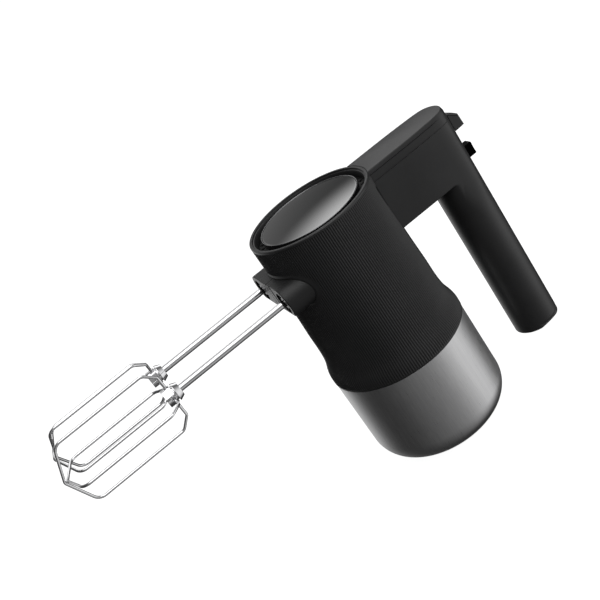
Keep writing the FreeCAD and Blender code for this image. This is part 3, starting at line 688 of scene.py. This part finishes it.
# ------------------------------------------------------------------ nose block
def f_nose(x, y, z):
    ay = np.abs(y)
    boss = np.sqrt((ay - Y_SP) ** 2 + (z - Z_NC) ** 2) - R_NOSE
    dyc = np.maximum(ay - Y_SP, 0)
    # the flat bridge between the bosses
    bridge = np.maximum(np.sqrt(dyc**2 + (z - Z_NC) ** 2) - R_NOSE, ay - Y_SP)
    two = np.minimum(boss, bridge)
    two = smax(two, Z_NBOT - z, 0.6)
    body = smax(two, -49.7 - x, 0.7)
    web = smax(smax(ay - 9.0, -50.0 - x, 0.7), smax(z - Z_NTOP, 145.5 - z, 0.7), 0.7)
    web = np.maximum(web, x + 40.0)
    s = smin(body, web, 0.5)
    s = smax(s, x + 27.0, 0.3)
    bore = np.sqrt((ay - Y_SP) ** 2 + (z - Z_SP) ** 2) - 7.4
    s = smax(s, -bore, 0.45)
    # mould seam down the middle
    seam = np.maximum(np.abs(y + 3.2) - 0.22, -(np.maximum(-50.1 - x, z - Z_NTOP) + 0.45))
    s = np.maximum(s, -seam)
    return s


nose = skin("nose_spindle_housing", f_nose, (-51.5, -32, 141), (-26, 32, 163.5), 0.42)
# the nose takes the darker painted-shade copy of the black plastic
finish_piece(nose, "handle_black", "housing", ("nose_block",), mat=M["nose_black"])

# ------------------------------------------------------------------ steel cup
zb = 0.8
rf = 19.3
ro = 48.6
prof = [(24.0, zb)] + [(ro - rf, zb)]
prof += arc(ro - rf, zb + rf, rf, -88, 0, 26)
prof += [(ro, 30), (ro, 45), (ro, 60), (ro, 70.9)] + arc(ro - 0.35, Z_JOINT - 0.4, 0.35, 0, 90, 4) + [(ro - 0.9, Z_JOINT - 0.05)]
prof += [(ro - 0.9, 60), (ro - 0.9, 21)] + arc(ro - rf, zb + rf, rf - 0.9, 0, -88, 20)[1:] + [(ro - rf, zb + 0.9), (24.0, zb + 0.9)]
cup = revolve("steel_cup", prof, n=288, sharp=40)
outward(cup)
finish_piece(cup, "brushed_steel", "housing", ("steel_shell",))

# ------------------------------------------------------------------ front rim with its recess and vent slots
prof = [(41.05, 181.55), (43.3, 181.56)]
prof += arc(42.2, 181.9, 1.1, 0, 80, 7) + [(42.0, 183.0), (41.5, 183.0)] + arc(41.35, 182.6, 0.4, 90, 170, 5)[1:]
prof += [(40.95, 182.0), (40.87, 181.82), (40.35, 181.78), (40.12, 181.72), (40.0, 181.5), (39.8, 180.5), (39.5, 179.3), (39.5, 176.62), (39.6, 176.6), (39.6, 175.1), (41.0, 175.0), (41.05, 176.98)]
rim = revolve("front_rim", prof, n=288, sharp=32)
outward(rim)
finish_piece(rim, "ribbed_black", "housing", ("rim_ring",), mat=M["handle_black"])
nseg = 36 * 12
thf = np.arange(nseg) * TAU / nseg
rr = np.array([30.0, 31.5, 33.5, 36.0, 36.35, 37.6, 38.85, 39.2, 40.0])
Rf, Tf = np.meshgrid(rr, thf, indexing="ij")
top_ = np.stack([Rf * np.cos(Tf), Rf * np.sin(Tf), 176.58 + 0 * Rf], -1)
bot_ = np.stack([Rf * np.cos(Tf), Rf * np.sin(Tf), 175.02 + 0 * Rf], -1)
ph = ((np.arange(nseg) + 0.5) % 12)
slot_c = (ph > 4) & (ph < 8)
slot_m = (ph > 3) & (ph < 9)
kp = np.ones((len(rr) - 1, nseg), bool)
kp[3, slot_c] = False
kp[4, slot_m] = False
kp[5, slot_c] = False
grille = cut_grid_shell("vent_grille_floor", top_, bot_, kp)
outward(grille)
# the vent grille floor takes the painted-shade recess material: its near-black stands in for the shade down in the
# recess under the disc
finish_piece(grille, "ribbed_black", "housing", mat=M["recess_black"])

# ------------------------------------------------------------------ gloss disc and its trim ring
prof = [(0.0, 176.6), (32.0, 176.6), (32.0, 179.2), (34.3, 179.2), (34.3, 181.15)]
edge_r = arc(33.8, 181.15, 0.5, 0, 76, 5)[1:]
prof += edge_r
for r in np.linspace(33.4, 0.0, 34):
    prof.append((float(r), 181.65 + 1.35 * (1 - (r / 33.8) ** 2)))
disc = revolve("front_disc_gloss", prof, n=256, sharp=40)
outward(disc)
finish_piece(disc, "gloss_black", "housing", ("front_disc",))
prof = [(34.37, 179.2), (35.0, 179.2), (35.0, 181.45)] + arc(34.7, 181.6, 0.3, 0, 180, 8) + [(34.37, 181.45)]
trim = revolve("disc_trim_ring", prof, n=288, sharp=40)
outward(trim)
finish_piece(trim, "polished_trim", "housing", ("disc_trim",))

# ------------------------------------------------------------------ handle: arm and grip in one skin
TA = 0.1268
CA = 1.0 / math.sqrt(1 + TA * TA)


def arm2(x, y, off=0.0):
    ay = np.abs(y)
    flat = (ay - (21.1 - TA * (x - 43.0))) * CA + off
    tip = np.where(x > X_GRIP, np.sqrt(np.maximum(x - X_GRIP, 0) ** 2 + y * y), ay) - R_GRIP + off
    return smax(flat, tip, 2.4)


def grip2(x, y):
    return np.sqrt((x - X_GRIP) ** 2 + y * y)


def f_handle(x, y, z):
    rg = grip2(x, y)
    top = z - (Z_SEAM - 0.05)
    arm = smax(arm2(x, y), Z_ARM0 - z, 0.9)
    arm = smax(arm, top, 0.25)
    # grip cylinder with its rounded foot
    qx, qz = rg - (R_GRIP - 2.6), (Z_GRIP0 + 2.6) - z
    foot = np.minimum(np.maximum(qx, qz), 0) + np.sqrt(np.maximum(qx, 0) ** 2 + np.maximum(qz, 0) ** 2) - 2.6
    # the arm's flats run on into the grip and are let go over the first centimetres below the arm
    flat = (np.abs(y) - (21.1 - TA * (x - 43.0))) * CA - 3.6 * (1 - sstep(104.0, 138.0, z))
    grip = smax(smax(foot, flat, 2.4), z - 172.0, 1.0)
    fillet = smax(smin(Z_ARM0 - z, rg - R_GRIP, 2.2), arm2(x, y), 0.5)
    s = np.minimum(np.minimum(arm, grip), fillet)
    s = np.maximum(s, top)
    # hollow
    cav = np.maximum(arm2(x, y, 2.3), np.maximum(Z_ARM0 + 2.3 - z, z - (Z_SEAM + 2)))
    bore = np.maximum(rg - (R_GRIP - 2.8), np.maximum(z - 150.0, Z_GRIP0 + 5.4 - z))
    s = np.maximum(s, -np.minimum(cav, bore))
    # round inlet in the closed foot
    s = smax(s, -np.maximum(rg - 3.75, z - (Z_GRIP0 + 7.0)), 0.4)
    # root inside the barrel
    s = np.maximum(s, 40.6 - np.sqrt(x * x + y * y))
    # slot for the slider and window for the button
    slot = np.maximum(np.abs(y) - 2.3, np.maximum(np.abs(z - 162.0) - 8.3, 99.0 - x))
    win = np.maximum(np.abs(y) - 4.3, np.maximum(np.abs(z - 146.3) - 4.75, 99.0 - x))
    s = smax(s, -slot, 0.35)
    s = smax(s, -win, 0.35)
    # screw wells on the far side
    for sx, sz in ((50.0, 168.0), (86.3, 168.5)):
        w = np.maximum(np.sqrt((x - sx) ** 2 + (z - sz) ** 2) - 3.0, 9.0 - y)
        s = smax(s, -w, 0.3)
    return s


arm_lo = (39.5, -22.5, 14.5)
handle = skin("handle_shell", f_handle, (39.5, -22.6, 15.0), (109.6, 22.6, 176.0), (0.6, 0.55, 0.55))
finish_piece(handle, "handle_black", "housing", ("arm_left", "arm_right", "grip_tube", "grip_end_cap"))


# top cover: closed outlines at different insets, lofted
R_ROOT = 43.12


def outline(off, n_tip=56, n_side=46, n_root=24):
    """Closed arm outline inset by off: root at -Y, round the tip, root at +Y, and back along the rim circle."""
    def solve(x0, y0, dx, dy):
        lo, hi = 0.0, 40.0
        for _ in range(36):
            mid = 0.5 * (lo + hi)
            if float(arm2(np.array(x0 + mid * dx), np.array(y0 + mid * dy))) < -off:
                lo = mid
            else:
                hi = mid
        return lo
    # where the side meets the rim circle
    lo, hi = 20.0, R_ROOT
    for _ in range(40):
        mid = 0.5 * (lo + hi)
        w = solve(mid, 0.0, 0.0, 1.0)
        if mid * mid + w * w < R_ROOT**2:
            lo = mid
        else:
            hi = mid
    xr = hi
    side = []
    for x in np.linspace(xr, X_GRIP - 4.0, n_side):
        side.append((x, -solve(x, 0.0, 0.0, 1.0)))
    tip = []
    for k in range(1, n_tip):
        a = -math.pi / 2 + math.pi * k / n_tip
        m = solve(X_GRIP - 4.0, 0.0, math.cos(a), math.sin(a))
        tip.append((X_GRIP - 4.0 + m * math.cos(a), m * math.sin(a)))
    other = [(x, -y) for x, y in side[::-1]]
    yr = side[0][1]
    a1 = math.atan2(-yr, xr)
    root = [(R_ROOT * math.cos(a1 * (1 - 2 * k / n_root)), R_ROOT * math.sin(a1 * (1 - 2 * k / n_root))) for k in range(1, n_root)]
    return np.array(side + tip + other + root)


def cover_loft():
    # height, inset, extra inset of the seam or groove there, and where along the arm that extra fades out
    seam, groove = (84.0, 94.0), (90.0, 100.0)
    levels = [(174.86, 0.0, 0.35, seam), (174.95, 0.0, 0.12, seam), (175.15, 0.0, 0.0, seam), (177.0, 0.0, 0.0, seam), (179.6, 0.0, 0.0, groove),
              (179.85, 0.0, 0.06, groove), (179.96, 0.0, 0.30, groove), (180.02, 0.0, 0.5, groove), (180.2, 0.0, 0.5, groove),
              (180.27, 0.0, 0.25, groove), (180.42, 0.02, 0.0, groove), (181.5, 0.33, 0.0, groove), (182.5, 0.64, 0.0, groove),
              (182.78, 0.8, 0.0, groove), (182.95, 1.05, 0.0, groove), (183.0, 1.4, 0.0, groove)]
    rings_ = []
    for z, off, extra, (f0, f1) in levels:
        o = outline(off)
        if extra:
            w = (1 - sstep(f0, f1, o[:, 0]))[:, None]
            o = o * (1 - w) + outline(off + extra) * w
        rings_.append(np.column_stack([o, np.full(len(o), z)]))
    v = np.concatenate(rings_)
    n = len(o)
    faces = []
    for k in range(len(rings_) - 1):
        for i in range(n):
            j = (i + 1) % n
            faces.append((k * n + i, k * n + j, (k + 1) * n + j, (k + 1) * n + i))
    last = (len(rings_) - 1) * n
    faces.append(tuple(last + i for i in range(n)))
    faces.append(tuple(range(n))[::-1])
    return make_obj("arm_top_cover", v, faces, sharp=32)


cover = cover_loft()
outward(cover)
finish_piece(cover, "cover_grey", "housing", ("arm_cover",))


# ------------------------------------------------------------------ slider and button
def f_slider(x, y, z):
    # wedge in XZ: half planes through the corner points, rounded together
    P = [(105.7, 162.4), (108.8, 162.4), (115.5, 162.9), (115.0, 171.5), (109.2, 175.7), (105.7, 175.7)]
    d = None
    for i in range(len(P)):
        (x0, z0), (x1, z1) = P[i], P[(i + 1) % len(P)]
        L = math.hypot(x1 - x0, z1 - z0)
        nx, nz = (z1 - z0) / L, -(x1 - x0) / L
        e = (x - x0) * nx + (z - z0) * nz
        d = e if d is None else smax(d, e, 0.5)
    # the top edge of the side walls has a small chamfer and shadow groove
    side = np.abs(y) - 4.3
    d = smax(d, side, 1.2)
    groove = np.maximum(np.abs((z - 171.5) * 0.81 + (x - 115.0) * 0.585 + 1.6) - 0.16, -(np.maximum(side, x - 115.6) + 0.3))
    d = np.maximum(d, -groove)
    d = smax(d, (R_GRIP + 0.35) - grip2(x, y), 0.3)
    stem = np.maximum(np.abs(y) - 2.0, np.maximum(np.abs(z - 167.0) - 3.0, np.maximum(103.0 - x, x - 109.5)))
    plate = np.maximum(np.abs(y) - 4.6, np.maximum(np.abs(z - 167.0) - 5.0, np.maximum(100.6 - x, x - 103.6)))
    return np.minimum(np.minimum(d, stem), plate)


slider = skin("speed_slider", f_slider, (99.5, -5.6, 160.4), (117.0, 5.6, 176.8), 0.28)
finish_piece(slider, "selector_grey", "selector", ("speed_selector",))


def f_button(x, y, z):
    qx = np.abs(x - 108.2) - (5.4 - 0.9)
    qy = np.abs(y) - (4.0 - 0.9)
    qz = np.abs(z - 146.3) - (4.4 - 0.9)
    d = np.sqrt(np.maximum(qx, 0) ** 2 + np.maximum(qy, 0) ** 2 + np.maximum(qz, 0) ** 2) + np.minimum(np.maximum(qx, np.maximum(qy, qz)), 0) - 0.9
    # dished thumb face
    dish = 26.0 - np.sqrt((x - 139.15) ** 2 + (z - 146.3) ** 2)
    d = smax(d, dish, 0.5)
    fl = np.maximum(np.abs(y) - 6.5, np.maximum(np.abs(z - 145.3) - 6.1, np.abs(x - 101.45) - 1.45))
    return np.minimum(d, fl)


button = skin("eject_key", f_button, (99.4, -7.4, 138.2), (114.6, 7.4, 152.2), 0.28)
finish_piece(button, "gloss_black", "eject", ("eject_button",), mat=M["key_black"])

# ------------------------------------------------------------------ return spring of the eject rod
sp_lo, sp_hi = nb("eject_spring")
sp_c = 0.5 * (sp_lo + sp_hi)
sp_r = 0.5 * (sp_hi[2] - sp_lo[2]) - 0.5
tt = np.linspace(0, 1, 6 * 28 + 1)
coil = np.column_stack([sp_lo[0] + 0.5 + (sp_hi[0] - sp_lo[0] - 1.0) * tt, sp_c[1] + sp_r * np.cos(TAU * 6 * tt), sp_c[2] + sp_r * np.sin(TAU * 6 * tt)])
spring = tube("return_spring_coil", coil, 0.5, seg=10)
finish_piece(spring, "screw_steel", "housing", ("eject_spring",))
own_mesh(spring)

# ------------------------------------------------------------------ beaters
X_SH, R_WIRE = -136.6, 0.95
HUBX0, HUBX1 = -130.0, -141.0


def hub_field(y0, phase):
    def f(x, y, z):
        yy, zz = y - y0, z - Z_SP
        r = np.sqrt(yy * yy + zz * zz)
        # collar cone towards the shaft, neck, main drum
        cone = np.maximum(np.maximum(r - (4.5 + np.clip(-(x + 130.0), 0, 3.4) * 0.46), x + 130.0), -(x + 133.8))
        neck = np.maximum(r - 4.7, np.maximum(x + 131.0, -(x + 138.0)))
        drum = np.maximum(r - 6.0, np.maximum(x + 134.7, -(x + 140.9)))
        d = smin(smin(cone, neck, 0.3), drum, 0.3)
        # dished front face
        dish = np.sqrt((x + 146.2) ** 2 + r * r) - 6.8
        d = smax(d, -dish, 0.4)
        # crimp notches where the legs leave, and flats between them
        for q in range(4):
            a = math.radians(phase + 90.0 * q)
            dy, dz = math.sin(a), math.cos(a)
            along = yy * dy + zz * dz
            across = -yy * dz + zz * dy
            notch = np.maximum(np.maximum(np.abs(across) - 1.15, 4.0 - along), np.abs(x + 136.7) - 1.35)
            d = smax(d, -notch, 0.25)
            b = a + math.pi / 4
            flat = (yy * math.sin(b) + zz * math.cos(b)) - 5.45
            d = np.where(x < -134.2, smax(d, flat, 0.25), d)
        return d
    return f


for side, sg, phase in (("left", -1, 0.0), ("right", 1, 64.0)):
    y0 = sg * Y_SP
    zc_ = Z_SP - 0.9
    for tag, ang, tip in (("a", phase, -215.95), ("b", phase + 90.0, -214.0)):
        a = math.radians(ang)
        dy, dz = math.sin(a), math.cos(a)

        def P(x, r):
            return (x, y0 + r * dy, zc_ + r * dz)
        pts = [P(X_SH, 3.6), P(X_SH, 15.2), P(-143.6, 22.2), P(-207.0, 22.2), P(tip, 0.0),
               P(-207.0, -22.2), P(-143.6, -22.2), P(X_SH, -15.2), P(X_SH, -3.6)]
        path = round_path(pts, [1.6, 5.0, 6.5, 3.0, 6.5, 5.0, 1.6])
        w = tube("whisk_wire_%s_%s" % (tag, side), path, R_WIRE, seg=20)
        finish_piece(w, "chrome_wire", "beater_" + side, ("beater_loop_%s_%s" % (tag, side),))
    hub = skin("whisk_hub_" + side, hub_field(y0, phase), (-142.2, y0 - 7.2, Z_SP - 7.2), (-128.8, y0 + 7.2, Z_SP + 7.2), 0.22)
    finish_piece(hub, "chrome_wire", "beater_" + side, ("beater_hub_" + side,))
    prof = [(0.0, -133.9), (2.1, -133.9), (2.3, -133.7), (2.3, -100.0), (2.3, -60.0), (2.3, -15.2), (1.9, -14.1), (0.0, -14.0)]
    sh = revolve("whisk_shaft_" + side, prof, n=48, axis="X", centre=(0, y0, Z_SP), sharp=30)
    outward(sh)
    finish_piece(sh, "chrome_wire", "beater_" + side, ("beater_shaft_" + side,))

# ------------------------------------------------------------------ floor, light, camera
me = bpy.data.meshes.new("studio_floor")
S = 14.0
me.from_pydata([(-S, -S, 0), (S, -S, 0), (S, S, 0), (-S, S, 0)], [], [(0, 1, 2, 3)])
floor = bpy.data.objects.new("studio_floor", me)
bpy.context.scene.collection.objects.link(floor)
fm, nt, b = nodes_of("studio_floor_white")
b.inputs["Roughness"].default_value = 0.9
b.inputs["Specular IOR Level"].default_value = 0.1
b.inputs["Emission Color"].default_value = (1, 1, 1, 1)
b.inputs["Emission Strength"].default_value = 0.95
c = noise(nt, coords(nt), 3.0, 2, 0.5)
nt.links.new(ramp(nt, c, [(0.2, (0.30, 0.30, 0.30)), (0.8, (0.31, 0.31, 0.31))]), b.inputs["Base Color"])
me.materials.append(fm)
floor.visible_glossy = False
floor.visible_diffuse = False
floor.visible_shadow = False

# The studio round the object: a dim room with soft panels, painted by direction.
VIEW_AZ = math.degrees(math.atan2(-0.905, -0.159))
world = bpy.data.worlds.new("studio_world")
bpy.context.scene.world = world
world.use_nodes = True
wn = world.node_tree
wn.nodes.clear()
wo = wn.nodes.new("ShaderNodeOutputWorld")
bgs = wn.nodes.new("ShaderNodeBackground")
bgc = wn.nodes.new("ShaderNodeBackground")
bgc.inputs["Color"].default_value = (1, 1, 1, 1)
mixw = wn.nodes.new("ShaderNodeMixShader")
lp = wn.nodes.new("ShaderNodeLightPath")
wn.links.new(lp.outputs["Is Camera Ray"], mixw.inputs[0])
wn.links.new(bgs.outputs[0], mixw.inputs[1])
wn.links.new(bgc.outputs[0], mixw.inputs[2])
wn.links.new(mixw.outputs[0], wo.inputs[0])
tcw = wn.nodes.new("ShaderNodeTexCoord")


def panel(direction, sharp, level, zband=None):
    """A soft round panel: level * exp(sharp * (cos(angle to its centre) - 1)), cut off softly between the two levels of zband along its vector."""
    d = Vector(direction).normalized()
    dot = wn.nodes.new("ShaderNodeVectorMath")
    dot.operation = "DOT_PRODUCT"
    dot.inputs[1].default_value = d
    wn.links.new(tcw.outputs["Generated"], dot.inputs[0])
    s1 = wn.nodes.new("ShaderNodeMath")
    s1.operation = "MULTIPLY_ADD"
    s1.inputs[1].default_value = sharp
    s1.inputs[2].default_value = -sharp
    wn.links.new(dot.outputs["Value"], s1.inputs[0])
    ex = wn.nodes.new("ShaderNodeMath")
    ex.operation = "EXPONENT"
    wn.links.new(s1.outputs[0], ex.inputs[0])
    ml = wn.nodes.new("ShaderNodeMath")
    ml.operation = "MULTIPLY"
    ml.inputs[1].default_value = level
    wn.links.new(ex.outputs[0], ml.inputs[0])
    if zband:
        up_dot = wn.nodes.new("ShaderNodeVectorMath")
        up_dot.operation = "DOT_PRODUCT"
        up_dot.inputs[1].default_value = Vector(zband[2:])
        wn.links.new(tcw.outputs["Generated"], up_dot.inputs[0])
        mr = wn.nodes.new("ShaderNodeMapRange")
        mr.interpolation_type = "SMOOTHSTEP"
        mr.inputs["From Min"].default_value = zband[0]
        mr.inputs["From Max"].default_value = zband[1]
        wn.links.new(up_dot.outputs["Value"], mr.inputs["Value"])
        m2 = wn.nodes.new("ShaderNodeMath")
        m2.operation = "MULTIPLY"
        wn.links.new(ml.outputs[0], m2.inputs[0])
        wn.links.new(mr.outputs[0], m2.inputs[1])
        return m2.outputs[0]
    return ml.outputs[0]


def direction(az_rel, elev):
    """Unit vector at an azimuth to the right of the product view (degrees) and an elevation."""
    a = math.radians(VIEW_AZ + az_rel)
    e = math.radians(elev)
    return (math.cos(a) * math.cos(e), math.sin(a) * math.cos(e), math.sin(e))


PANELS = [  # azimuth from the view, elevation, sharpness, level, soft cut-off (from, to, along a vector)
    (82, -20, 5.0, 1.15, (-0.15, 0.3, *direction(20, 0))),
    (68, 15, 7.0, 0.45, None),
    (-152, -15, 14.0, 1.5, None),
    (-150, 20, 16.0, 0.7, None),
    (168, 36, 22.0, 2.1, (0.30, 0.46, 0.591, -0.104, 0.8)),
    (5, 40, 24.0, 1.1, None),
    (10, 80, 4.0, 0.2, None),
    (0, -22, 5.0, 0.16, None),
]
total = None
for az_, el_, sh_, lv_, zb_ in PANELS:
    o = panel(direction(az_, el_), sh_, lv_, zb_)
    if total is None:
        total = o
    else:
        ad = wn.nodes.new("ShaderNodeMath")
        ad.operation = "ADD"
        wn.links.new(total, ad.inputs[0])
        wn.links.new(o, ad.inputs[1])
        total = ad.outputs[0]
ad = wn.nodes.new("ShaderNodeMath")
ad.operation = "ADD"
ad.inputs[1].default_value = 0.035
wn.links.new(total, ad.inputs[0])
wn.links.new(ad.outputs[0], bgs.inputs["Color"])
bgs.inputs["Strength"].default_value = 1.0

# camera: azimuth, elevation and roll of the product view
CAM = Vector((-0.14288, -0.60350, 0.40038))
az, el, ro_ = math.radians(-9.96), math.radians(23.17), math.radians(-35.15)
back = Vector((math.sin(az) * math.cos(el), -math.cos(az) * math.cos(el), math.sin(el)))
right_ = Vector((math.cos(az), math.sin(az), 0))
up = back.cross(right_)
Rv = right_ * math.cos(ro_) + up * math.sin(ro_)
Uv = -right_ * math.sin(ro_) + up * math.cos(ro_)
cam = bpy.data.cameras.new("product_camera")
cam.lens = 63.59
cam.sensor_width = 36.0
cam.clip_start = 0.02
cam.clip_end = 60
co = bpy.data.objects.new("product_camera", cam)
co.matrix_world = Matrix(((Rv.x, Uv.x, back.x, CAM.x), (Rv.y, Uv.y, back.y, CAM.y), (Rv.z, Uv.z, back.z, CAM.z), (0, 0, 0, 1)))
bpy.context.scene.collection.objects.link(co)
bpy.context.scene.camera = co


def area(name, where, target, w, h, power, col=(1, 1, 1)):
    ld = bpy.data.lights.new(name, "AREA")
    ld.shape = "RECTANGLE"
    ld.size, ld.size_y = w, h
    ld.energy = power
    ld.color = col
    ob = bpy.data.objects.new(name, ld)
    ob.location = where
    d = Vector(target) - Vector(where)
    ob.rotation_euler = d.to_track_quat("-Z", "Y").to_euler()
    bpy.context.scene.collection.objects.link(ob)
    return ob


MID = (-0.02, 0.0, 0.09)
area("softbox_top", (0.15, -0.45, 1.65), MID, 1.6, 1.5, 15)
# a low soft light that only the plated wires, hubs and shafts take
plated = bpy.data.collections.new("plated_pieces")
for ob in list(bpy.context.scene.objects):
    if ob.name.startswith("whisk_"):
        plated.objects.link(ob)
fill = area("plated_fill_low", (-0.24, -0.86, -0.335), (-0.09, 0.0, 0.15), 1.2, 0.4, 0.4)
fill.light_linking.receiver_collection = plated
fill.visible_camera = False

bpy.context.scene.view_settings.view_transform = "Standard"
